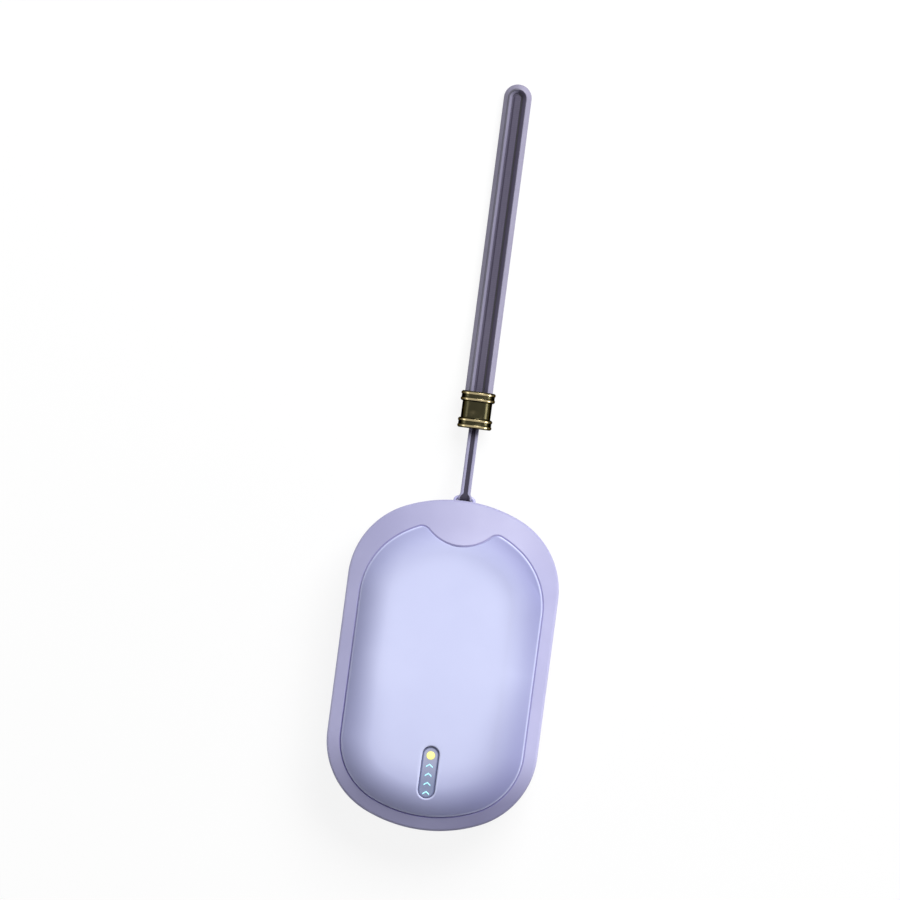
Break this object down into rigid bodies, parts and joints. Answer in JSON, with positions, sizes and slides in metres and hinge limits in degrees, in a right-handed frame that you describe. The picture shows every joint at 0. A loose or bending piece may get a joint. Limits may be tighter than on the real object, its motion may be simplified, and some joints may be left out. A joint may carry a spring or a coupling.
{
  "type": "rechargeable hand warmer",
  "caption": "Pebble-shaped double-sided hand warmer with a sloped rim, pillow covers, a lit push key, a charging port and a flat wrist strap on a brass ferrule.",
  "frame": {"origin": "middle of the flat rear face, on which the case lies", "axes": "+X across the case, +Y along it towards the lanyard, +Z out of the front cover"},
  "size_m": [0.066, 0.2346, 0.026],
  "materials": {
    "shell": "soft-touch lavender",
    "window": "smoked blue-grey, translucent",
    "status_light": "lit yellow",
    "level_light": "lit cyan",
    "seal": "grey rubber",
    "inner_plastic": "moulded dark grey",
    "black_plastic": "moulded black",
    "clear_plastic": "clear",
    "lamp": "white",
    "steel": "plain",
    "board": "green solder mask",
    "ferrite": "pressed ferrite",
    "capacitor": "tan",
    "cell_foil": "satin pouch foil",
    "tape": "double-sided tape",
    "wire": "red insulation",
    "plate": "rolled",
    "film": "amber film",
    "foam": "closed-cell foam",
    "bail_wire": "lavender enamel",
    "tape_cord": "woven lavender tape",
    "brass": "dark antique",
    "crimp": "plain",
    "strap": "smooth lavender",
    "lining": "dark plum"
  },
  "bodies": {
    "case": {"mid_frame": "shell", "front_cover": "shell", "rear_cover": "shell", "front_gasket": "seal", "rear_gasket": "seal", "tact_switch": "black_plastic", "status_led": "lamp", "level_leds": "lamp", "light_shroud": "inner_plastic", "light_guide": "clear_plastic", "tray": "inner_plastic", "tray_screws": "steel", "board_screws": "steel", "circuit_board": "board", "control_chip": "black_plastic", "charge_chip": "black_plastic", "power_coil": "ferrite", "capacitors": "capacitor", "usb_socket": "steel", "usb_tongue": "black_plastic", "battery_cell_lower": "cell_foil", "battery_tape": "tape", "battery_cell_upper": "cell_foil", "battery_leads": "wire", "front_heat_plate": "plate", "rear_heat_plate": "plate", "front_heater_film": "film", "rear_heater_film": "film", "front_foam": "foam", "rear_foam": "foam", "heater_leads": "wire", "thermistor": "black_plastic", "lanyard_bail": "bail_wire"},
    "power_key": {"power_key": "window", "status_lens": "status_light", "level_chevrons": "level_light", "switch_plunger": "inner_plastic"},
    "lanyard": {"lanyard_tether": "tape_cord", "tether_stop": "crimp", "ferrule": "brass", "strap_band": "strap", "strap_lining": "lining"}
  },
  "joints": [
    {"name": "power_key_press", "type": "slide", "parent": "case", "child": "power_key", "axis": [0, 0, -1], "range_m": [0, 0.0004], "stiffness_N_per_m": 1500},
    {"name": "lanyard_swing", "type": "hinge", "parent": "case", "child": "lanyard", "pos_m": [0, 0.05265, 0.013], "axis": [1, 0, 0], "range_deg": [0, 90]}
  ]
}
